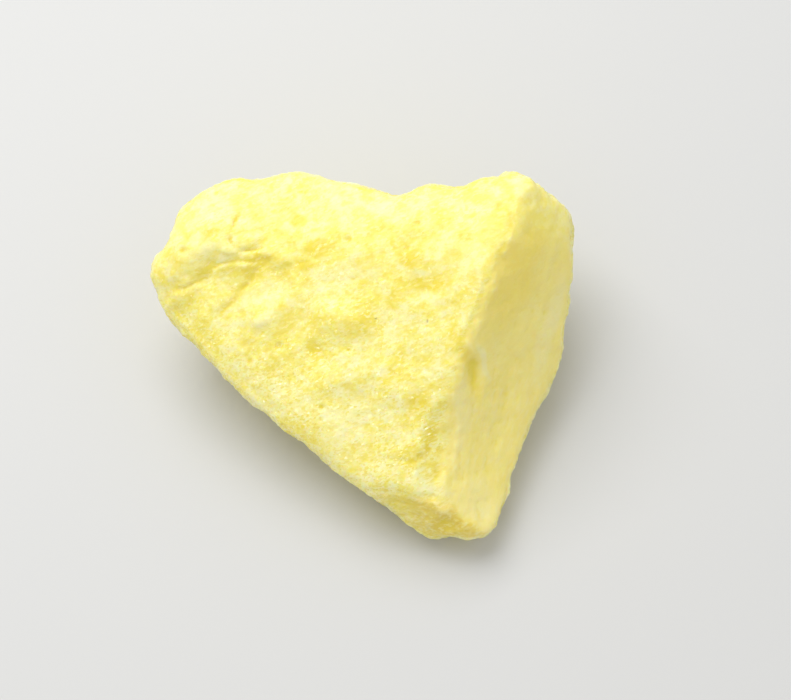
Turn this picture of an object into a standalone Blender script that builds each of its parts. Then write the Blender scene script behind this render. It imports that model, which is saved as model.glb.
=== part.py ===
"""A lump of native sulfur, 50 mm long, as one solid with fracture faces all round.

A broad granular face looks up, a narrower smooth face falls away to its right along a ridge, and a
small broken facet ends the ridge. The lump lies on the flat fracture under it.

The stone is worked out in its own face frame, in millimetres: u along its length, v across it, and w
out of the broad face. Three steps make it. Each vertex of an icosphere is pushed along its ray to the
nearest face: the outline, the upper faces, the fracture planes or the shell-shaped scars. A voxel
remesh evens the mesh out, and the waves, ledges and swells of the surface are added to it. Last, the
stone is turned the way it lies and cut off flat where it meets the floor.
"""

import math

import bmesh
import bpy
import numpy as np
from mathutils import Matrix, Vector, noise

MM = 0.001
OBJECT_NAME = "sulfur_crystal"

# How the face frame lies: the broad face tips towards -Y, and its origin is this far from the row's.
LIE_TILT_DEG = 22.0
FACE_ORIGIN = (-0.18, -1.02, 13.0)

# A point well inside the stone, which every ray starts from.
HEART = (1.5, 1.0, -7.0)

# The widest section, square to w, clockwise from the left tip.
OUTLINE = [
    (-25.0, 9.5), (-24.5, 11.4), (-23.0, 12.7), (-22.6, 14.9), (-21.5, 17.2), (-19.2, 19.0),
    (-16.0, 20.1), (-14.5, 20.8), (-12.1, 20.2), (-8.1, 21.6), (-5.4, 21.3), (-3.1, 20.5),
    (0.7, 19.9), (4.4, 18.4), (6.0, 19.2), (8.3, 19.9), (11.7, 19.3), (14.8, 20.3),
    (17.1, 21.0), (19.9, 20.5), (22.7, 18.8), (24.7, 17.0), (25.4, 15.3), (25.1, 12.0),
    (25.1, 6.3), (24.6, 2.8), (23.8, 0.3), (23.2, -2.2), (22.1, -4.8), (20.6, -7.2),
    (19.4, -11.2), (18.2, -14.0), (17.4, -17.3), (16.0, -20.1), (14.9, -21.4), (12.3, -21.9),
    (10.8, -21.7), (8.3, -22.4), (6.9, -21.7), (4.6, -19.8), (0.7, -16.7), (-5.7, -11.4),
    (-11.6, -7.1), (-16.4, -3.0), (-18.6, -0.4), (-21.9, 3.1), (-23.9, 6.3),
]

# Upper faces, each as its height over the origin, its slope along u and its slope along v.
BROAD_FACE = (4.2, 0.20, 0.05)
UPPER_SLOPE = (12.2, 0.12, -0.45)
LOWER_SLOPE = (4.8, 0.20, 0.17)
TIP_FACET = (18.3, 0.28, 1.00)

# The ridge between the broad face and the smooth one: its u where v is 0, its lean, bend and twist.
RIDGE = (11.6, 0.376, 0.0072, -0.00035)
# How steeply the smooth face falls away from the ridge, and how far round the ridge is worn, at each of
# these v.
SMOOTH_FACE_SLOPES = {-20.0: 0.62, 10.0: 1.0}
RIDGE_ROUNDING = {-12.0: 2.8, 4.0: 0.7, 18.0: 1.2}

# Fracture planes of the sides and the underside, each as the direction it faces round w, its dip below
# the section, both in degrees, and its distance from the heart.
FRACTURES = [
    (228, 12, 13.3), (270, 16, 23.2), (338, 18, 23.9), (352, 22, 23.4), (46, 24, 27.6), (90, 20, 21.4),
    (99, 30, 21.0), (135, 30, 24.6), (182, 34, 25.2),
    (205, 54, 13.6), (150, 50, 15.5), (75, 55, 13.8), (20, 52, 15.6), (310, 48, 16.5),
]

# Shell-shaped scars of the sides, each as the centre and the radius of the sphere that it follows.
SCARS = [
    ((-7.0, 31.5, -9.0), 14.0), ((14.0, 30.0, -13.0), 11.5), ((-15.0, -16.5, -13.0), 12.5),
    ((32.5, -3.0, -14.0), 12.0), ((-31.0, 10.0, -13.5), 12.0),
]

# Ledges of the broad face, each as its rise, the width of its step, how far back the raised side fades,
# and its path in (u, v), with the raised side on its left.
LEDGES = [
    (0.9, 2.0, 9.0, [(-26.5, 5.4), (-22.5, 6.6), (-19.2, 8.5), (-16.6, 10.4), (-11.5, 10.6), (-7.0, 11.8)]),
    (0.6, 0.9, 3.0, [(-17.5, 9.6), (-15.2, 10.8), (-12.6, 10.2), (-10.2, 10.4), (-7.6, 11.8)]),
    (0.7, 1.3, 5.0, [(-19.5, 3.2), (-15.9, 5.4), (-14.2, 6.6), (-12.7, 8.0), (-10.5, 10.2)]),
    (0.8, 2.2, 6.0, [(-15.0, 2.0), (-11.5, 2.2), (-8.5, 3.2), (-7.0, 5.2), (-6.6, 8.0)]),
    (0.7, 3.6, 8.0, [(-6.5, -0.6), (-1.8, 0.2), (1.8, 2.0), (3.4, 6.4)]),
    (0.4, 2.0, 5.0, [(-7.0, -6.0), (-2.5, -5.6), (2.0, -4.2), (6.5, -2.6)]),
    (0.5, 2.4, 5.0, [(2.0, -8.2), (6.2, -6.2), (9.2, -3.2)]),
    (0.3, 0.9, 3.0, [(-1.0, -15.6), (4.4, -16.4), (9.5, -17.2)]),
]

# Swells, each as its centre in (u, v), its half-lengths along and across, its turn in degrees and its
# height. One with a height below 0 is a hollow.
SWELLS = [
    ((-18.5, 14.0), 9.0, 5.5, 32, 1.1),
    ((8.0, 8.4), 3.8, 2.6, 20, -0.45),
    ((-5.2, 0.3), 1.6, 1.3, 0, -0.65),
    ((13.1, -1.9), 3.2, 1.1, 106, -0.9),
    ((9.6, -7.0), 2.4, 1.7, 40, -0.3),
    ((17.2, 10.6), 2.6, 1.3, 60, -0.4),
]

# How far, and over what length, the ledges and swells wander from their paths.
WANDER = 0.7
WANDER_LENGTH = 3.0
# Noise read this far off has nothing to do with the noise here.
ELSEWHERE = 100.0

# Waves of the broken surface, each as a wavelength and a height. They are lower on the smooth face and
# higher on the sides and the underside.
WAVES = [(9.0, 0.34), (4.5, 0.21), (2.2, 0.11)]
WAVES_ON_SMOOTH_FACE = 0.3
WAVES_ON_SIDES = 2.0

# How far from an edge its wear begins, and the cell of the voxel remesh.
WORN_EDGE = 0.8
EVEN_MESH = 0.5
TRIANGLES_BEFORE_CUT = 11300


def smooth_min(a, b, blend):
    """The lesser of a and b, rounded over where they come within blend of each other."""
    overlap = np.maximum(blend - np.abs(a - b), 0) / blend
    return np.minimum(a, b) - overlap**2 * blend / 4


def ramp(value, start, end):
    """From 0 at start to 1 at end, with level ends."""
    share = np.clip((value - start) / (end - start), 0, 1)
    return share * share * (3 - 2 * share)


def face_height(face, u, v):
    height, slope_u, slope_v = face
    return height + slope_u * u + slope_v * v


def ridge_u(v):
    start, lean, bend, twist = RIDGE
    return start + lean * v + bend * v**2 + twist * v**3


def along_v(table, v):
    """The table's value at each v, on straight lines between its rows."""
    return np.interp(v, list(table), list(table.values()))


def rough_faces(u, v):
    """Height of the broad face and of the slopes above and below it."""
    height = smooth_min(face_height(BROAD_FACE, u, v), face_height(UPPER_SLOPE, u, v), 3.0)
    return smooth_min(height, face_height(LOWER_SLOPE, u, v), 1.0)


def upper_surface(u, v):
    """Height of the stone's upper side over the section, before its relief."""
    crest = ridge_u(v)
    smooth_face = rough_faces(crest, v) - along_v(SMOOTH_FACE_SLOPES, v) * (u - crest)
    height = smooth_min(rough_faces(u, v), smooth_face, along_v(RIDGE_ROUNDING, v))
    return smooth_min(height, face_height(TIP_FACET, u, v), 0.6)


def reach_of_outline(rays):
    """How far each ray goes before it leaves the outline's prism."""
    closed = np.array(OUTLINE + OUTLINE[:1])
    corner = np.concatenate([[0], np.cumsum(np.hypot(*np.diff(closed, axis=0).T))])
    along = np.linspace(0, corner[-1], 2000)
    u = np.interp(along, corner, closed[:, 0]) - HEART[0]
    v = np.interp(along, corner, closed[:, 1]) - HEART[1]
    turn, radius = np.arctan2(v, u), np.hypot(u, v)
    order = np.argsort(turn)
    heading = np.arctan2(rays[:, 1], rays[:, 0])
    across = np.maximum(np.hypot(rays[:, 0], rays[:, 1]), 1e-6)
    return np.interp(heading, turn[order], radius[order], period=2 * math.pi) / across


def reach_of_upper_surface(rays, step=0.25, farthest=45.0):
    """How far each ray goes before it comes out through the upper side."""
    reach = np.full(len(rays), 2 * farthest)
    below = np.ones(len(rays))
    for distance in np.arange(step, farthest, step):
        u, v, w = (HEART[i] + distance * rays[:, i] for i in range(3))
        gap = upper_surface(u, v) - w
        out = (gap < 0) & (reach > farthest)
        reach[out] = distance + step * gap[out] / (below[out] - gap[out])
        below = gap
    return reach


def reach_of_fracture(rays, turn, dip, distance):
    """How far each ray goes before it meets a fracture plane."""
    turn, dip = math.radians(turn), math.radians(dip)
    normal = (math.cos(turn) * math.cos(dip), math.sin(turn) * math.cos(dip), -math.sin(dip))
    return distance / np.maximum(rays @ np.array(normal), 1e-3)


def reach_of_scar(rays, centre, radius, farthest=90.0):
    """How far each ray goes before it enters a scar's sphere."""
    away = np.array(centre) - np.array(HEART)
    nearest = rays @ away
    inside = nearest**2 - (away @ away - radius**2)
    enters = (inside > 0) & (nearest > 0)
    return np.where(enters, nearest - np.sqrt(np.maximum(inside, 0)), farthest)


def rough_stone():
    """The stone's faces with worn edges and no relief, as a bmesh in millimetres."""
    ball = bmesh.new()
    bmesh.ops.create_icosphere(ball, subdivisions=7, radius=1.0)
    rays = np.array([vertex.co.normalized() for vertex in ball.verts])
    reach = smooth_min(reach_of_outline(rays), reach_of_upper_surface(rays), WORN_EDGE)
    for fracture in FRACTURES:
        reach = smooth_min(reach, reach_of_fracture(rays, *fracture), WORN_EDGE)
    for scar in SCARS:
        reach = smooth_min(reach, reach_of_scar(rays, *scar), WORN_EDGE)
    for vertex, point in zip(ball.verts, np.array(HEART) + rays * reach[:, None]):
        vertex.co = point
    return ball


def beside(path, u, v):
    """Each point's distance from the path, positive on its left, and its place along it, 0 to 1."""
    path = np.array(path)
    start, leg = path[:-1], np.diff(path, axis=0)
    length = np.hypot(*leg.T)
    from_start = np.stack([u, v], axis=1)[:, None] - start
    share = np.clip((from_start * leg).sum(2) / length**2, 0, 1)
    off = from_start - share[..., None] * leg
    distance = np.hypot(off[..., 0], off[..., 1])
    nearest = distance.argmin(axis=1)
    row = np.arange(len(u))
    to_point = from_start[row, nearest]
    side = np.sign(leg[nearest, 0] * to_point[:, 1] - leg[nearest, 1] * to_point[:, 0])
    run = (np.cumsum(length) - length)[nearest] + share[row, nearest] * length[nearest]
    return side * distance[row, nearest], run / length.sum()


def ledge_height(u, v, rise, width, fades, path):
    distance, along = beside(path, u, v)
    ends = ramp(along, 0.0, 0.3) * ramp(along, 1.0, 0.7)
    return rise * ends * ramp(distance, 0, width) * ramp(distance, fades, width)


def swell_height(u, v, centre, half_long, half_wide, turn, height):
    turn = math.radians(turn)
    u, v = u - centre[0], v - centre[1]
    along = (u * math.cos(turn) + v * math.sin(turn)) / half_long
    across = (v * math.cos(turn) - u * math.sin(turn)) / half_wide
    return height * ramp(np.hypot(along, across), 1.0, 0.2)


def noise_at(points, length):
    """Smooth noise in space, from about -1 to 1, as waves of this length."""
    return np.array([noise.noise(Vector(point) / length) for point in points])


def add_relief(shape):
    """Adds the waves all over the stone, and the ledges and swells to its upper side."""
    points = np.array([vertex.co for vertex in shape.verts])
    normals = np.array([vertex.normal for vertex in shape.verts])
    looks_up = ramp(normals[:, 2], 0.25, 0.65)
    on_smooth_face = ramp(points[:, 0] - ridge_u(points[:, 1]), -0.5, 1.0) * looks_up
    u = points[:, 0] + WANDER * noise_at(points, WANDER_LENGTH)
    v = points[:, 1] + WANDER * noise_at(points + ELSEWHERE, WANDER_LENGTH)
    rise = sum(ledge_height(u, v, *ledge) for ledge in LEDGES)
    rise += sum(swell_height(u, v, *swell) for swell in SWELLS)
    wave = sum(height * noise_at(points, length) for length, height in WAVES)
    wave *= WAVES_ON_SIDES + (1 - WAVES_ON_SIDES) * looks_up + (WAVES_ON_SMOOTH_FACE - 1) * on_smooth_face
    points += normals * wave[:, None]
    points[:, 2] += rise * looks_up
    for vertex, point in zip(shape.verts, points):
        vertex.co = point


def object_from(shape, name):
    mesh = bpy.data.meshes.new(name)
    shape.to_mesh(mesh)
    shape.free()
    thing = bpy.data.objects.new(name, mesh)
    bpy.context.scene.collection.objects.link(thing)
    return thing


def with_modifier(shape, kind, **settings):
    """The shape after one modifier."""
    thing = object_from(shape, "step")
    modifier = thing.modifiers.new(kind, kind)
    for name, value in settings.items():
        setattr(modifier, name, value)
    done = bmesh.new()
    done.from_object(thing, bpy.context.evaluated_depsgraph_get())
    bpy.data.objects.remove(thing)
    return done


def lay_on_floor(shape):
    """Turns the stone the way it lies, in metres, and cuts it off flat at the floor."""
    lie = Matrix.Translation(FACE_ORIGIN) @ Matrix.Rotation(math.radians(LIE_TILT_DEG), 4, "X")
    bmesh.ops.transform(shape, matrix=Matrix.Scale(MM, 4) @ lie, verts=shape.verts)
    cut = bmesh.ops.bisect_plane(
        shape, geom=[*shape.verts, *shape.edges, *shape.faces], plane_no=(0, 0, 1), clear_inner=True
    )
    rim = [edge for edge in cut["geom_cut"] if isinstance(edge, bmesh.types.BMEdge)]
    bmesh.ops.edgeloop_fill(shape, edges=rim)
    bmesh.ops.recalc_face_normals(shape, faces=shape.faces)


def sulfur():
    """Matte, slightly waxy lemon yellow."""
    material = bpy.data.materials.new("sulfur")
    material.use_nodes = True
    shader = material.node_tree.nodes["Principled BSDF"]
    shader.inputs["Base Color"].default_value = (0.91, 0.84, 0.19, 1)
    shader.inputs["Roughness"].default_value = 0.55
    shader.inputs["Metallic"].default_value = 0.0
    return material


def main():
    for thing in list(bpy.data.objects):
        bpy.data.objects.remove(thing)
    shape = with_modifier(rough_stone(), "REMESH", mode="VOXEL", voxel_size=EVEN_MESH)
    add_relief(shape)
    shape = with_modifier(shape, "DECIMATE", ratio=TRIANGLES_BEFORE_CUT / (2 * len(shape.faces)))
    lay_on_floor(shape)
    stone = object_from(shape, OBJECT_NAME)
    stone.data.materials.append(sulfur())


main()
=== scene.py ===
"""The looks of the lump of native sulfur: its granular skin, its finish, the studio and the camera."""

import math

import bpy
import numpy as np
from mathutils import Matrix, Vector, noise


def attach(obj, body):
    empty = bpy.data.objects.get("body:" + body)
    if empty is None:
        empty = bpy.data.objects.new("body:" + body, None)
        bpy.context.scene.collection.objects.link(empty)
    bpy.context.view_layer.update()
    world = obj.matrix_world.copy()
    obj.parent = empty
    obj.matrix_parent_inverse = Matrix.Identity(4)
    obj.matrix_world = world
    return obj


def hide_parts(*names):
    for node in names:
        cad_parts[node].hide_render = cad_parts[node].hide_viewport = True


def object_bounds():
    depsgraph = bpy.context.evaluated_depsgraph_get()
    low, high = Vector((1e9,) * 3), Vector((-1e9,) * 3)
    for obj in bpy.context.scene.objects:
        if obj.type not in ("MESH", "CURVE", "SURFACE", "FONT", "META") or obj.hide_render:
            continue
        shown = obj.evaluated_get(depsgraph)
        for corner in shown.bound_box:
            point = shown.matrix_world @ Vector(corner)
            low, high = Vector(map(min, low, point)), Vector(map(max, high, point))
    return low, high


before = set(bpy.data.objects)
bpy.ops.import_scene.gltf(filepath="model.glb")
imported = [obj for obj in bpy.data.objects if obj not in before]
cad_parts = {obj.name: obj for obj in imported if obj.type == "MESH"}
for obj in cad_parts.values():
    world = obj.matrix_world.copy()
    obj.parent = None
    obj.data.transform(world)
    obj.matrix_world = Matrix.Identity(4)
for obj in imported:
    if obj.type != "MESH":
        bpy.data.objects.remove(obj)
cad_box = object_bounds()

MM = 0.001
NODE = "sulfur_crystal"

# The face frame, in millimetres: u along the lump, v across it and w out of its broad face.
LIE_TILT_DEG = 22.0
FACE_ORIGIN = (-0.18, -1.02, 13.0)
FACE_TO_ROW = (
    Matrix.Scale(MM, 4)
    @ Matrix.Translation(FACE_ORIGIN)
    @ Matrix.Rotation(math.radians(LIE_TILT_DEG), 4, "X")
)
ROW_TO_FACE = FACE_TO_ROW.inverted()

# Every length from here to the colours is in millimetres.

# Where the smooth face begins: its u at each v, and how wide the change from rough to smooth is there.
SMOOTH_EDGE = [
    (-22.0, 9.6), (-16.0, 9.6), (-14.1, 9.4), (-10.7, 9.8), (-6.8, 10.0), (-3.8, 10.4), (-0.7, 11.1),
    (1.6, 12.2), (5.4, 13.4), (9.6, 15.5), (11.9, 16.6), (14.5, 18.1), (18.3, 18.7), (22.0, 19.2),
]
SMOOTH_BLEND = [(-16.0, 2.4), (-4.0, 1.6), (2.0, 0.7), (20.0, 0.7)]
# Where the broken facet at the tip begins: its v at each u.
TIP_EDGE = [(2.3, -16.6), (8.0, -16.9), (10.6, -17.7), (11.5, -19.2), (13.5, -20.4), (17.0, -22.0)]

# Half the cell of the remesh is the skin's mesh size.
REMESH_CELL = 0.54
SMOOTHING_ROUNDS = 3
# How many times a point takes its neighbours' mean before its depth under them is measured. More rounds
# measure it against a wider patch.
NEAR_ROUNDS = 8
LOCAL_ROUNDS = 47
WIDE_ROUNDS = 63
FAR_ROUNDS = 190

# Cracks and the feet of ledges: depth, half-width and path in (u, v). Crumbs fill one whose depth is
# below 0.
GROOVES = [
    (-0.45, 1.40, [(-26.5, 5.4), (-22.5, 6.6), (-19.2, 8.5), (-16.6, 10.4), (-11.5, 10.6), (-7.0, 11.8)]),
    (-0.20, 1.10, [(-19.5, 3.2), (-15.9, 5.4), (-14.2, 6.6), (-12.7, 8.0), (-10.5, 10.2)]),
    (
        0.25,
        0.28,
        [(-23.4, 7.2), (-20.7, 7.8), (-17.9, 9.2), (-16.4, 10.6), (-14.6, 11.0), (-12.1, 10.6), (-9.6, 11.2)],
    ),
    (0.28, 0.28, [(-16.8, 4.6), (-15.2, 5.9), (-13.7, 7.8), (-12.1, 9.6), (-10.0, 11.0)]),
    (0.30, 0.26, [(-13.6, 17.6), (-14.6, 15.6), (-15.0, 13.3), (-14.4, 12.1), (-12.9, 11.8), (-10.9, 12.2)]),
    (0.16, 0.22, [(2.2, -12.3), (4.0, -12.6), (6.6, -12.5)]),
    (0.12, 0.30, [(-1.0, -15.6), (4.4, -16.4), (9.5, -17.2)]),
]
# Patches of another yellow: centre in (u, v), half-lengths, turn in degrees and strength. It is deeper
# where the strength is above 0, and paler where it is below. Most are the stone's own tone; the few
# marked below are painted light.
STAINS_AND_LIT_PATCHES = [
    # The left end and the ledges.
    ((-12.0, 10.4), 4.5, 1.5, 10, 0.9), ((-20.5, 8.0), 4.0, 1.3, 30, 0.6),
    # The paler patch at (-17.6, 10.9) is painted light on the shaded slope below the ledge.
    ((-14.4, 6.8), 3.6, 0.9, 45, 0.9), ((-17.6, 10.9), 3.2, 1.2, 10, -0.4),
    ((-19.0, 15.5), 6.0, 3.0, 35, -0.15), ((-18.3, 1.8), 1.8, 1.0, 140, 0.7),
    ((-10.0, 7.2), 2.6, 1.6, 20, -0.5),
    # The middle of the broad face.
    ((-7.5, 15.8), 1.3, 0.9, 0, 1.6), ((-5.4, 12.3), 1.4, 1.0, 40, 1.6),
    ((-6.8, 10.2), 1.2, 0.8, 0, 1.4), ((-8.6, 3.8), 2.4, 1.3, 50, 0.9),
    ((-5.2, 0.2), 1.3, 1.1, 0, 1.2), ((-0.6, 3.9), 3.6, 2.0, 20, 0.8),
    ((-3.2, 8.8), 4.0, 2.0, 25, -0.6), ((5.8, 10.9), 1.6, 1.3, 10, 1.5),
    ((7.8, 8.2), 2.9, 1.2, 170, 1.8), ((5.6, 13.5), 4.0, 2.0, 10, 0.5),
    ((11.7, 12.6), 2.6, 1.8, 60, 0.7), ((7.5, 17.6), 7.0, 1.3, 0, -0.2),
    ((15.5, 14.8), 3.2, 1.8, 75, 1.1),
    # The lower part of the broad face.
    ((-0.6, -7.0), 3.0, 2.2, 35, -0.5), ((6.9, -5.4), 2.2, 1.5, 70, 1.3),
    ((8.1, -10.2), 2.2, 1.0, 75, 1.1), ((5.9, -12.4), 2.0, 0.9, 40, 1.1),
    ((4.5, -3.4), 3.0, 1.2, 15, 0.5), ((-9.5, -4.5), 5.0, 2.0, 140, -0.4),
    ((-3.0, -7.0), 13.0, 5.0, 140, -0.15),
    # The smooth face, its scar and its rims.
    ((17.8, 8.9), 8.0, 3.4, 66, 0.9), ((12.8, -1.8), 3.5, 1.15, 108, 1.6),
    ((11.8, -7.5), 7.0, 1.2, 84, -0.6), ((13.6, -17.8), 3.6, 3.0, 80, -0.6),
    # Both patches here are painted light: a paler band along the smooth face's right outline, and a pale lit
    # lip along the scar's right side.
    ((22.4, 3.5), 8.0, 1.1, 76, -0.7), ((14.3, -0.9), 2.6, 0.35, 108, -1.2),
    # The tip.
    ((5.2, -17.6), 3.4, 0.9, 172, 1.0), ((10.6, -20.2), 3.0, 1.5, 165, 2.2),
    ((8.6, -15.9), 3.0, 0.7, 172, -0.9),
]
# Hollows too shallow for the solid, as the same numbers with a depth for the strength. The one below 0 is
# a swell.
HOLLOWS = [
    # The left end.
    ((-13.0, 13.1), 1.7, 0.9, 10, -0.30),
    # The smooth face: its scar, its foot and the chips beside the ridge.
    ((12.8, -1.7), 3.2, 1.0, 108, 0.10), ((16.3, -7.3), 5.0, 1.1, 74, 0.12),
    ((16.9, 11.6), 1.8, 0.9, 60, 0.14), ((14.5, 7.4), 1.8, 0.8, 70, 0.12),
    ((13.2, 4.4), 1.6, 0.8, 60, 0.14),
    # The lower end of the ridge and the tip.
    ((8.6, -12.4), 5.5, 2.0, 82, 0.45), ((10.4, -19.6), 2.0, 1.0, 155, 0.30),
    ((4.6, -17.6), 2.5, 0.6, 172, 0.15),
]
# The rim that is worn down, as a path in (u, v), and how deep and how far in from it.
RIM = [
    (-24.9, 9.2), (-23.6, 6.4), (-21.6, 3.6), (-19.3, 0.8), (-16.9, -2.0), (-12.4, -6.2), (-7.2, -10.4),
    (-1.8, -14.6), (3.0, -18.2),
]
RIM_DROP = 0.8
RIM_REACH = 3.5
# Dark specks of another mineral: place in (u, v) and half-width.
INCLUSIONS = [((1.7, 4.1), 0.24), ((7.7, 3.8), 0.24)]

# Broken scales of the rough faces: height, period, and the share of a period that the step takes.
SCALES = [(0.10, 3.2, 0.30), (0.05, 1.5, 0.35)]
# Streaks along the grain: height, length and width.
STREAKS = [(0.07, 4.5, 1.5), (0.04, 2.0, 0.7)]
# Round grains: height and size.
DOMES = [(0.04, 1.2), (0.04, 0.65)]
# Waves: height, length and octaves, for each kind of surface.
ROUGH_WAVE = (0.09, 3.0, 4)
SIDE_WAVES = [(0.20, 2.5, 3), (0.12, 0.8, 2)]
SMOOTH_WAVES = [(0.15, 3.5, 4), (0.035, 1.1, 2)]
TIP_WAVE = (0.17, 1.6, 3)
BRUSHED_WAVE = (0.05, 0.8, 2)
# How much a brushed wave is drawn out down the smooth face, as the scale of v.
BRUSHED_DRAW = 0.12
# Round pits: depth, spacing and size.
PITS = (0.22, 3.2, 0.5)
# Chips along the stone's edges and along the ridge: depth, and the length of one.
EDGE_CHIPS = (0.4, 2.2)
RIDGE_CHIPS = (0.10, 2.8)
# How far the marks and cracks wander from their drawn places, and over what length.
WANDER = 0.7
WANDER_LENGTH = 3.0
# The same for the ridge.
RIDGE_WANDER = 0.8
RIDGE_WANDER_LENGTH = 2.4
# Added to a place, this gives another part of the same noise.
ELSEWHERE = 100.0
# A point this near the floor lies flat on it, and the relief grows to its full height over the fade.
ON_FLOOR = 0.02
FLOOR_FADE = 0.6

# The grain's direction across the broad face, and how much longer its marks are that way.
GRAIN_TURN_DEG = 24.0
GRAIN_STRETCH = 2.2
# The same for the fine lines down the smooth face.
BRUSHED_TURN_DEG = 80.0
BRUSHED_STRETCH = 7.0

# How fine each pattern of the finish is, as repeats in a metre.
CLOUDS_SCALE = 180.0
LUMPS_SCALE = 500.0
STREAKS_SCALE = 1300.0
LINES_SCALE = 2200.0
GRAINS_SCALE = 4000.0
SPECKS_SCALE = 5200.0
# How far the grains tip the light on the rough faces, on the smooth one and in a glint.
ROUGH_TILT = 0.12
SMOOTH_TILT = 0.08
GLINT_TILT = 1.1

WARM_YELLOW = (0.92, 0.82, 0.16, 1)
PALE_YELLOW = (0.95, 0.87, 0.37, 1)
# The deep yellow is the stone's deeper tone, and also the painted shade in its hollows.
DEEP_YELLOW = (0.85, 0.71, 0.06, 1)
# The worn yellow is crushed and worn sulfur, and also painted light on pale patches and painted highlight on
# proud edges.
WORN_AND_LIT_YELLOW = (0.98, 0.905, 0.53, 1)
PALE_FLECK = (1.00, 0.92, 0.48, 1)
DEEP_FLECK = (0.80, 0.66, 0.05, 1)
FACE_YELLOW = (0.93, 0.78, 0.20, 1)
FACE_PALE = (0.94, 0.81, 0.27, 1)
FACE_DEEP = (0.91, 0.74, 0.12, 1)
# The face's worn yellow is also painted light on the smooth face's pale rims.
FACE_WORN_AND_LIT = (0.93, 0.83, 0.40, 1)
TIP_YELLOW = (0.82, 0.62, 0.09, 1)
INCLUSION_BROWN = (0.30, 0.21, 0.05, 1)
FLOOR_WHITE = (0.60, 0.60, 0.59, 1)

SULFUR_FINISH = {
    "Roughness": 0.5,
    "IOR": 1.6,
    "Subsurface Weight": 0.7,
    "Subsurface Radius": (1.0, 0.8, 0.25),
    "Subsurface Scale": 1.0 * MM,
    "Coat Roughness": 0.12,
    "Coat IOR": 1.9,
}
FLOOR_FINISH = {"Base Color": FLOOR_WHITE, "Roughness": 0.6}
FLOOR_REACH_M = 2.0

# The light that comes from all round, and the key: its place in the face frame, its side and its power.
SKY_STRENGTH = 0.70
KEY_PLACE = (-120, 330, 300)
KEY_SIZE_M = 0.35
KEY_POWER_W = 1.66
# The camera's place in the face frame.
CAMERA_PLACE = (4.06, 0.47, 258.5)
LENS_MM = 100
SENSOR_WIDTH_MM = 36
VIEW_REACH_M = 10


def ramp(value, start, end):
    """From 0 at start to 1 at end, with level ends."""
    share = np.clip((value - start) / (end - start), 0, 1)
    return share * share * (3 - 2 * share)


def looked_up(table, places):
    """The table's value at each place, from its (place, value) rows."""
    return np.interp(places, *zip(*table))


def hump(value, centre, half_width):
    """1 at the centre, falling off smoothly to both sides."""
    return np.exp(-(((value - centre) / half_width) ** 2))


def moved(points, matrix):
    """The points, each taken through a 4 x 4 matrix."""
    matrix = np.array(matrix)
    return points @ matrix[:3, :3].T + matrix[:3, 3]


def read(mesh, what):
    """One vector for each vertex, such as its co or its normal."""
    flat = np.empty(len(mesh.vertices) * 3)
    mesh.vertices.foreach_get(what, flat)
    return flat.reshape(-1, 3)


def applied(thing, kind, **settings):
    """Puts one modifier on the thing and applies it."""
    modifier = thing.modifiers.new(kind, kind)
    for name, value in settings.items():
        setattr(modifier, name, value)
    mesh = bpy.data.meshes.new_from_object(thing.evaluated_get(bpy.context.evaluated_depsgraph_get()))
    thing.modifiers.clear()
    thing.data = mesh


def noise_at(points, length, octaves=1):
    """Smooth noise in space, from about -1 to 1, as waves of this length."""
    scaled = points / length
    if octaves == 1:
        return np.array([noise.noise(Vector(point)) for point in scaled])
    return np.array([noise.fractal(Vector(point), 0.8, 2.1, octaves) for point in scaled])


def beside(path, u, v):
    """Each point's distance from the path and its place along it, 0 to 1."""
    path = np.array(path)
    start, leg = path[:-1], np.diff(path, axis=0)
    length = np.hypot(*leg.T)
    from_start = np.stack([u, v], axis=1)[:, None] - start
    share = np.clip((from_start * leg).sum(2) / length**2, 0, 1)
    off = from_start - share[..., None] * leg
    distance = np.hypot(off[..., 0], off[..., 1])
    nearest = distance.argmin(axis=1)
    row = np.arange(len(u))
    run = (np.cumsum(length) - length)[nearest] + share[row, nearest] * length[nearest]
    return distance[row, nearest], run / length.sum()


def domes_at(points, size):
    """Height of a surface of round grains pressed together, from -1 to 0."""
    return np.array([-min(1, noise.voronoi(Vector(point))[0][0]) ** 2 for point in points / size])


def grooves_at(points):
    """Depth of the cracks and of the feet of the ledges."""
    u = points[:, 0] + 0.5 * WANDER * noise_at(points, WANDER_LENGTH)
    v = points[:, 1] + 0.5 * WANDER * noise_at(points + ELSEWHERE, WANDER_LENGTH)
    broken = 0.6 + 0.8 * noise_at(points, 1.7)
    depth = np.zeros(len(points))
    for deepest, half_width, path in GROOVES:
        distance, along = beside(path, u, v)
        ends = ramp(along, 0.0, 0.12) * ramp(along, 1.0, 0.88)
        depth += deepest * ends * hump(distance, 0.0, half_width) * broken
    return depth


def across_grain(points):
    """How far each point lies across the stone's grain, which climbs to the right and flattens out."""
    u, v = points[:, 0], points[:, 1]
    return v - 0.3 * u + 0.007 * u * u


def scales_at(points, period, steep):
    """Height of the broken scales, from 0 to 1. Their steps look down the face and follow its grain."""
    turn = across_grain(points) / period + 1.3 * noise_at(points * (0.45, 1, 1), period * 1.25, 3)
    place = turn - np.floor(turn)
    return (1 - place) * ramp(place, 0, steep) * ramp(noise_at(points + ELSEWHERE, 6.0), -0.25, 0.35)


def streaks_at(points, length, width):
    """Smooth noise drawn out along the grain, from about -1 to 1."""
    drawn = np.stack([points[:, 0] * width / length, across_grain(points), points[:, 2]], axis=1)
    return noise_at(drawn, width, 2)


def pits_at(points, spacing, size):
    """Depth of scattered round pits, from 0 to 1."""
    depth = np.empty(len(points))
    for index, point in enumerate(points / spacing):
        away, seeds = noise.voronoi(Vector(point))
        own = noise.cell_vector(seeds[0] * 57.3)
        depth[index] = (own.x > 0.45) * max(0, 1 - (away[0] * spacing / (size * (0.5 + own.y))) ** 2)
    return depth


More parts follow.
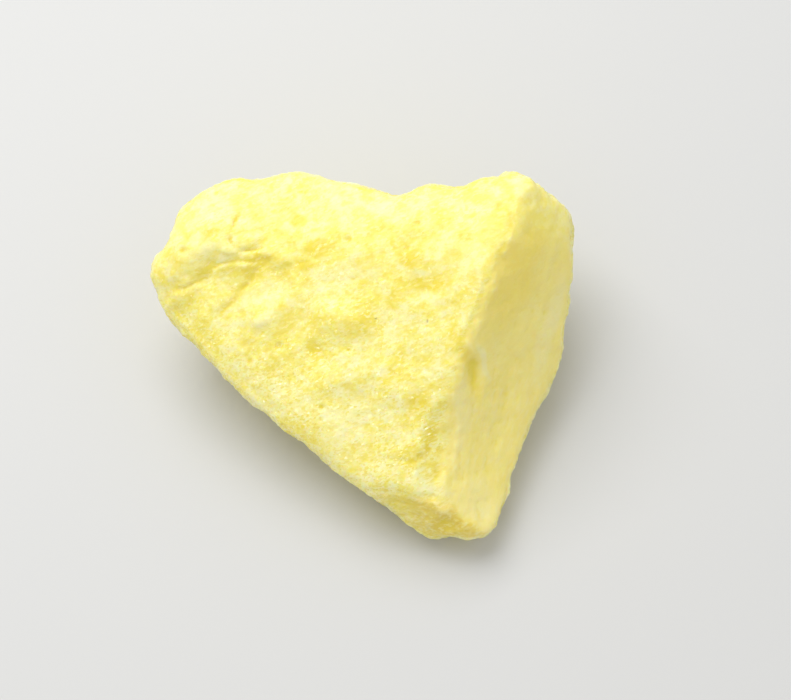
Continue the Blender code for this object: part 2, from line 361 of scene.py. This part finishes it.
def blob_at(u, v, centre, half_long, half_wide, turn, strength):
    """The strength at the middle of an oval patch, fading to 0 past its rim."""
    turn = math.radians(turn)
    u, v = u - centre[0], v - centre[1]
    along = (u * math.cos(turn) + v * math.sin(turn)) / half_long
    across = (v * math.cos(turn) - u * math.sin(turn)) / half_wide
    return strength * ramp(np.hypot(along, across), 1.3, 0.3)


def skin():
    """The CAD solid's shape as an even, smooth, fine mesh."""
    thing = bpy.data.objects.new("sulfur_skin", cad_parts[NODE].data.copy())
    bpy.context.scene.collection.objects.link(thing)
    applied(thing, "REMESH", mode="VOXEL", voxel_size=REMESH_CELL * MM)
    applied(thing, "SMOOTH", factor=0.5, iterations=SMOOTHING_ROUNDS)
    applied(thing, "SUBSURF", levels=1, render_levels=1)
    return thing


def spread(values, ends, rounds):
    """The values after each vertex has taken its neighbours' mean, this many times."""
    count = np.bincount(ends.ravel(), minlength=len(values))[:, None]
    for _ in range(rounds):
        total = np.stack(
            [
                np.bincount(ends[:, 0], values[ends[:, 1], axis], len(values))
                + np.bincount(ends[:, 1], values[ends[:, 0], axis], len(values))
                for axis in range(values.shape[1])
            ],
            axis=1,
        )
        values = 0.5 * values + 0.5 * total / count
    return values


def neighbours(mesh):
    """The two ends of each edge."""
    ends = np.empty(len(mesh.edges) * 2, int)
    mesh.edges.foreach_get("vertices", ends)
    return ends.reshape(-1, 2)


def depth_under(mesh, ends, rounds):
    """How deep each point lies under the mean of the surface round it. It is negative on an edge."""
    points = read(mesh, "co")
    return ((spread(points, ends, rounds) - points) * read(mesh, "normal")).sum(1) / MM


def wave_at(points, height, length, octaves):
    """Smooth noise of this height."""
    return height * noise_at(points, length, octaves)


def regions(points, normals):
    """How much each point belongs to each region of the stone, from 0 to 1.

    Most regions are drawn for the upper side, and count only where the surface looks up. Two entries
    aren't shares: stain is a strength and hollow is a depth.
    """
    u, v = points[:, 0], points[:, 1]
    looks_up = ramp(normals[:, 2], 0.25, 0.6)
    wavy_u = u + WANDER * noise_at(points, WANDER_LENGTH, 2)
    wavy_v = v + WANDER * noise_at(points + ELSEWHERE, WANDER_LENGTH, 2)
    tip = ramp(looked_up(TIP_EDGE, wavy_u) - wavy_v, -0.3, 0.5) * looks_up
    ridge = looked_up(SMOOTH_EDGE, v) + RIDGE_WANDER * noise_at(points, RIDGE_WANDER_LENGTH, 3)
    blend = looked_up(SMOOTH_BLEND, v)
    smooth = ramp(u, ridge - 0.5 * blend, ridge + 0.5 * blend) * looks_up * (1 - tip)
    rough = 1 - smooth
    coarse = rough * (1 - 0.4 * ramp(v, -4.0, 3.0) * looks_up)
    return {
        "looks_up": looks_up,
        "tip": tip,
        "smooth": smooth,
        "rough": rough,
        "coarse": coarse,
        "drawn_out": coarse * ramp(v, -14.0, 2.0),
        "brushed": smooth * ramp(v, 2.0, -5.0),
        "ledges": ramp(u, -7.0, -12.0),
        "by_ridge": hump(u, ridge, 3.0) * looks_up,
        "near_ridge": hump(u, ridge, 2.0) * looks_up * ramp(v, -3.0, 1.0) * ramp(v, 14.5, 11.0),
        "on_ridge": hump(u, ridge, 0.9) * looks_up * ramp(v, 0.0, 3.0) * ramp(v, 16.0, 13.0),
        "stain_and_light": sum(blob_at(wavy_u, wavy_v, *stain_and_light) for stain_and_light in STAINS_AND_LIT_PATCHES) * looks_up,
        "hollow": sum(blob_at(wavy_u, wavy_v, *hollow) for hollow in HOLLOWS) * looks_up,
    }


def relief(points, part, sunk, sunk_far):
    """How far each point rises out of the even skin. Its depth under a near and a far patch is given."""
    v = points[:, 1]
    looks_up, rough, smooth, coarse = part["looks_up"], part["rough"], part["smooth"], part["coarse"]
    on_edge = ramp(-sunk, 0.10, 0.45)

    # The solid's own forms: the swells, the ledges and both ends of the ridge are softened, and the
    # ridge's middle is sharpened.
    rise = 0.3 * sunk * (1 - on_edge) * (1 - part["ledges"]) * looks_up * rough
    rise += 0.6 * sunk_far * (1 - ramp(-sunk_far, 0.15, 0.45)) * part["ledges"] * looks_up
    rise += 0.7 * np.minimum(sunk_far, 0) * ramp(v, -4.0, -10.0) * part["by_ridge"] * (1 - part["tip"])
    rise += 0.6 * sunk_far * ramp(v, 13.0, 15.5) * ramp(v, 19.0, 17.0) * part["by_ridge"]
    rise -= 0.5 * sunk * part["near_ridge"] * on_edge

    for index, (height, period, step) in enumerate(SCALES):
        rise += height * (scales_at(points + index * ELSEWHERE, period, step) - 0.5) * part["drawn_out"]
    for index, (height, length, width) in enumerate(STREAKS):
        rise += height * streaks_at(points + index * ELSEWHERE, length, width) * part["drawn_out"]
    for index, (height, size) in enumerate(DOMES):
        rise += height * domes_at(points + index * ELSEWHERE, size) * coarse
    rise += wave_at(points, *ROUGH_WAVE) * coarse
    rise += sum(wave_at(points, *wave) for wave in SIDE_WAVES) * (1 - looks_up)
    for index, wave in enumerate(SMOOTH_WAVES):
        rise += wave_at(points + index * ELSEWHERE, *wave) * smooth
    rise += wave_at(points * (1, BRUSHED_DRAW, 1), *BRUSHED_WAVE) * part["brushed"]
    rise += wave_at(points, *TIP_WAVE) * part["tip"]

    depth, spacing, size = PITS
    rise -= depth * pits_at(points, spacing, size) * rough
    depth, length = EDGE_CHIPS
    rise -= depth * on_edge * ramp(noise_at(points, length, 3), -0.15, 0.4)
    depth, length = RIDGE_CHIPS
    rise -= depth * part["on_ridge"] * ramp(noise_at(points, length, 3), -0.2, 0.6)
    rise -= grooves_at(points) * looks_up
    return rise - part["hollow"]


def wear_rim(points):
    """Lowers the points along the worn rim, and less the further they lie down the side."""
    distance, along = beside(RIM, points[:, 0], points[:, 1])
    drop = RIM_DROP * (1 - np.minimum(distance / RIM_REACH, 1)) ** 2
    points[:, 2] -= drop * ramp(along, 0.0, 0.1) * ramp(along, 1.0, 0.7) * ramp(points[:, 2], -6.0, -0.5)


def add_relief(thing):
    """Roughens the skin, and notes on it what its finish depends on."""
    mesh = thing.data
    ends = neighbours(mesh)
    height_over_floor = read(mesh, "co")[:, 2] / MM
    points = moved(read(mesh, "co"), ROW_TO_FACE)
    normals = read(mesh, "normal") @ np.array(FACE_TO_ROW.to_3x3().normalized())
    part = regions(points, normals)
    rise = relief(points, part, depth_under(mesh, ends, LOCAL_ROUNDS), depth_under(mesh, ends, FAR_ROUNDS))
    points += normals * (rise * ramp(height_over_floor, 0.0, FLOOR_FADE))[:, None]
    wear_rim(points)
    placed = moved(points, FACE_TO_ROW)
    placed[:, 2] = np.where(height_over_floor < ON_FLOOR, 0, np.maximum(placed[:, 2], 0))
    placed = np.clip(placed, np.array(cad_box[0]), np.array(cad_box[1]))
    mesh.vertices.foreach_set("co", placed.ravel())
    mesh.update()
    note_marks(mesh, ends, points, part)


def note_marks(mesh, ends, points, part):
    """Keeps on the mesh, as attributes, what the finish reads."""
    u, v = points[:, 0], points[:, 1]
    fewer_grains = (1 - 0.5 * ramp(v, -8.0, 14.0) * part["looks_up"]) * (1 - 0.4 * part["tip"])
    specks = sum(ramp(np.hypot(u - place[0], v - place[1]), size, 0) for place, size in INCLUSIONS)
    marks = {
        "granular": part["rough"] * fewer_grains,
        # Toward its top the smooth face goes over to the paler rough colour: painted light on the rounded top
        # end of the ridge.
        "smooth_face": part["smooth"] * (1 - 0.7 * ramp(v, 10.5, 16.5)),
        "tip": part["tip"] * ramp(u, 2.0, 9.0),
        "brushed": part["brushed"],
        "stain_and_light": part["stain_and_light"],
        "inclusion": specks * part["looks_up"],
        "near_depth": depth_under(mesh, ends, NEAR_ROUNDS),
        "wide_depth": depth_under(mesh, ends, WIDE_ROUNDS),
    }
    for name, values in marks.items():
        mesh.attributes.new(name, "FLOAT", "POINT").data.foreach_set("value", values.astype(np.float32))


def node(tree, kind, inputs=None, **settings):
    """A shader node, with its settings, and its inputs set to values or linked from sockets."""
    made = tree.nodes.new("ShaderNode" + kind)
    for name, value in settings.items():
        setattr(made, name, value)
    for name, value in (inputs or {}).items():
        if isinstance(value, bpy.types.NodeSocket):
            tree.links.new(value, made.inputs[name])
        else:
            made.inputs[name].default_value = value
    return made


def mix_colours(tree, share, first, second):
    """The first colour, going over to the second as the share goes from 0 to 1."""
    made = tree.nodes.new("ShaderNodeMix")
    made.data_type = "RGBA"
    for socket, value in ((made.inputs[0], share), (made.inputs[6], first), (made.inputs[7], second)):
        if isinstance(value, bpy.types.NodeSocket):
            tree.links.new(value, socket)
        else:
            socket.default_value = value
    return made.outputs[2]


def mapped(tree, value, low, high, to_low=0.0, to_high=1.0):
    """The value's place between low and high, as a place between to_low and to_high."""
    inputs = {"Value": value, "From Min": low, "From Max": high, "To Min": to_low, "To Max": to_high}
    return node(tree, "MapRange", inputs).outputs["Result"]


def set_finish(shader, finish):
    for name, value in finish.items():
        shader.inputs[name].default_value = value


def sulfur():
    """Granular sulfur, slightly see-through: pale where crushed or worn, with painted shade in its hollows
    and painted highlights on its edges.
    """
    material = bpy.data.materials.new("sulfur")
    material.use_nodes = True
    tree = material.node_tree
    shader = tree.nodes["Principled BSDF"]
    place = node(tree, "TexCoord").outputs["Object"]

    def attribute(name):
        return node(tree, "Attribute", attribute_name=name).outputs["Fac"]

    def product(first, second):
        return node(tree, "Math", {0: first, 1: second}, operation="MULTIPLY").outputs[0]

    def drawn_out(turn_deg, stretch):
        """Places for a pattern that is stretched along a line turned this far from +X."""
        inputs = {"Vector": place, "Rotation": (0, 0, math.radians(turn_deg)), "Scale": (stretch, 1, 1)}
        return node(tree, "Mapping", inputs, vector_type="TEXTURE").outputs[0]

    def noisy(where, scale, **inputs):
        return node(tree, "TexNoise", {"Vector": where, "Scale": scale, **inputs}).outputs["Fac"]

    along_grain = drawn_out(GRAIN_TURN_DEG, GRAIN_STRETCH)
    clouds = noisy(place, CLOUDS_SCALE, Detail=8.0, Roughness=0.65)
    lumps = noisy(place, LUMPS_SCALE, Detail=4.0, Roughness=0.6)
    streaks = noisy(along_grain, STREAKS_SCALE, Detail=5.0)
    lines = noisy(drawn_out(BRUSHED_TURN_DEG, BRUSHED_STRETCH), LINES_SCALE, Detail=3.0)
    grains = node(tree, "TexVoronoi", {"Vector": along_grain, "Scale": GRAINS_SCALE}).outputs["Color"]
    specks = node(tree, "TexVoronoi", {"Vector": along_grain, "Scale": SPECKS_SCALE}).outputs["Color"]
    grain_chance = node(tree, "SeparateColor", {"Color": grains}).outputs
    speck_chance = node(tree, "SeparateColor", {"Color": specks}).outputs
    smooth, granular = attribute("smooth_face"), attribute("granular")
    near, wide, stain_and_light = attribute("near_depth"), attribute("wide_depth"), attribute("stain_and_light")

    # The body of the rough faces.
    tone = node(tree, "Math", {0: clouds, 1: streaks}, operation="ADD").outputs[0]
    body = mix_colours(tree, mapped(tree, tone, 0.82, 1.10), PALE_YELLOW, WARM_YELLOW)
    body = mix_colours(tree, mapped(tree, lumps, 0.50, 0.66, 0.0, 0.7), body, DEEP_YELLOW)
    crushed = product(mapped(tree, lumps, 0.50, 0.36, 0.0, 0.8), granular)
    body = mix_colours(tree, crushed, body, WORN_AND_LIT_YELLOW)
    # The smooth face, and the stains on both, among them a few paler patches of painted light.
    face = mix_colours(tree, mapped(tree, clouds, 0.3, 0.7), FACE_YELLOW, FACE_PALE)
    deeper = product(mapped(tree, stain_and_light, 0, 1.5), clouds)
    paler = product(mapped(tree, stain_and_light, 0, -1.0), clouds)
    body = mix_colours(tree, mapped(tree, deeper, 0.03, 0.40), body, DEEP_YELLOW)
    body = mix_colours(tree, mapped(tree, paler, 0.03, 0.60), body, WORN_AND_LIT_YELLOW)
    face = mix_colours(tree, mapped(tree, deeper, 0.03, 0.45), face, FACE_DEEP)
    face = mix_colours(tree, mapped(tree, paler, 0.03, 0.60), face, FACE_WORN_AND_LIT)
    brushing = product(mapped(tree, lines, 0.48, 0.62, 0.0, 0.3), attribute("brushed"))
    face = mix_colours(tree, brushing, face, FACE_WORN_AND_LIT)
    body = mix_colours(tree, smooth, body, face)
    body = mix_colours(tree, mapped(tree, attribute("tip"), 0, 1, 0, 0.6), body, TIP_YELLOW)
    # Painted shade: deeper, darker yellow in the hollows, wide or fine. Paler where it stands proud, partly
    # wear and partly painted highlight.
    body = mix_colours(tree, mapped(tree, wide, 0.02, 0.40), body, DEEP_YELLOW)
    body = mix_colours(tree, mapped(tree, near, 0.01, 0.09), body, DEEP_YELLOW)
    body = mix_colours(tree, mapped(tree, near, -0.02, -0.12, 0.0, 0.7), body, WORN_AND_LIT_YELLOW)
    # The flecks, which gather in patches, and the specks of the other mineral.
    patches = mapped(tree, clouds, 0.35, 0.6, 0.35, 1)
    uneven = product(mapped(tree, granular, 0, 1, 0.1, 0.85), patches)
    pale_flecks = product(mapped(tree, grain_chance["Red"], 0.45, 0.95), uneven)
    body = mix_colours(tree, pale_flecks, body, PALE_FLECK)
    deep_flecks = product(mapped(tree, speck_chance["Blue"], 0.5, 1.0), uneven)
    body = mix_colours(tree, deep_flecks, body, DEEP_FLECK)
    body = mix_colours(tree, mapped(tree, attribute("inclusion"), 0.2, 0.7), body, INCLUSION_BROWN)
    tree.links.new(body, shader.inputs["Base Color"])

    facing = node(tree, "NewGeometry").outputs["Normal"]
    own_tilt = node(tree, "VectorMath", {0: specks, 1: (0.5, 0.5, 0.5)}, operation="SUBTRACT").outputs[0]

    def tilted(amount):
        """The surface's normal, with each grain turned its own way by about this much."""
        tilt = node(tree, "VectorMath", {0: own_tilt, "Scale": amount}, operation="SCALE").outputs[0]
        turned = node(tree, "VectorMath", {0: facing, 1: tilt}, operation="ADD").outputs[0]
        return node(tree, "VectorMath", {0: turned}, operation="NORMALIZE").outputs[0]

    tilts = {0: smooth, 4: tilted(ROUGH_TILT), 5: tilted(SMOOTH_TILT)}
    tree.links.new(node(tree, "Mix", tilts, data_type="VECTOR").outputs[1], shader.inputs["Normal"])
    glints = product(mapped(tree, speck_chance["Green"], 0.80, 0.84, 0.0, 0.6), uneven)
    tree.links.new(glints, shader.inputs["Coat Weight"])
    tree.links.new(tilted(GLINT_TILT), shader.inputs["Coat Normal"])
    set_finish(shader, SULFUR_FINISH)
    return material


def pale():
    """The floor's matte off-white."""
    material = bpy.data.materials.new("floor")
    material.use_nodes = True
    set_finish(material.node_tree.nodes["Principled BSDF"], FLOOR_FINISH)
    return material


def add_floor():
    """A plain floor under the lump."""
    mesh = bpy.data.meshes.new("floor")
    reach = FLOOR_REACH_M
    corners = [(-reach, -reach, 0), (reach, -reach, 0), (reach, reach, 0), (-reach, reach, 0)]
    mesh.from_pydata(corners, [], [(0, 1, 2, 3)])
    mesh.materials.append(pale())
    floor = bpy.data.objects.new("floor", mesh)
    bpy.context.scene.collection.objects.link(floor)


def add_light(name, place, size, power):
    """A square soft light at this place in the face frame, looking at the lump."""
    light = bpy.data.lights.new(name, "AREA")
    light.size = size
    light.energy = power
    thing = bpy.data.objects.new(name, light)
    bpy.context.scene.collection.objects.link(thing)
    thing.location = FACE_TO_ROW @ Vector(place)
    to_lump = FACE_TO_ROW.translation - thing.location
    thing.rotation_euler = to_lump.to_track_quat("-Z", "Y").to_euler()


def add_studio():
    """Even light from all round, and one key light from above and behind, a little to the left."""
    world = bpy.data.worlds.new("studio")
    world.use_nodes = True
    world.node_tree.nodes["Background"].inputs["Color"].default_value = (1, 1, 1, 1)
    world.node_tree.nodes["Background"].inputs["Strength"].default_value = SKY_STRENGTH
    bpy.context.scene.world = world
    add_light("key", KEY_PLACE, KEY_SIZE_M, KEY_POWER_W)
    bpy.context.scene.view_settings.view_transform = "Standard"


def add_camera():
    """A camera that looks square onto the face frame."""
    camera = bpy.data.cameras.new("camera")
    camera.lens = LENS_MM
    camera.sensor_width = SENSOR_WIDTH_MM
    camera.clip_end = VIEW_REACH_M
    thing = bpy.data.objects.new("camera", camera)
    bpy.context.scene.collection.objects.link(thing)
    thing.location = FACE_TO_ROW @ Vector(CAMERA_PLACE)
    thing.rotation_euler = (math.radians(LIE_TILT_DEG), 0, 0)
    bpy.context.scene.camera = thing


def main():
    lump = skin()
    add_relief(lump)
    lump.data.polygons.foreach_set("use_smooth", np.ones(len(lump.data.polygons), bool))
    lump.data.materials.clear()
    lump.data.materials.append(sulfur())
    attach(lump, "root")
    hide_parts(NODE)
    add_floor()
    add_studio()
    add_camera()


main()
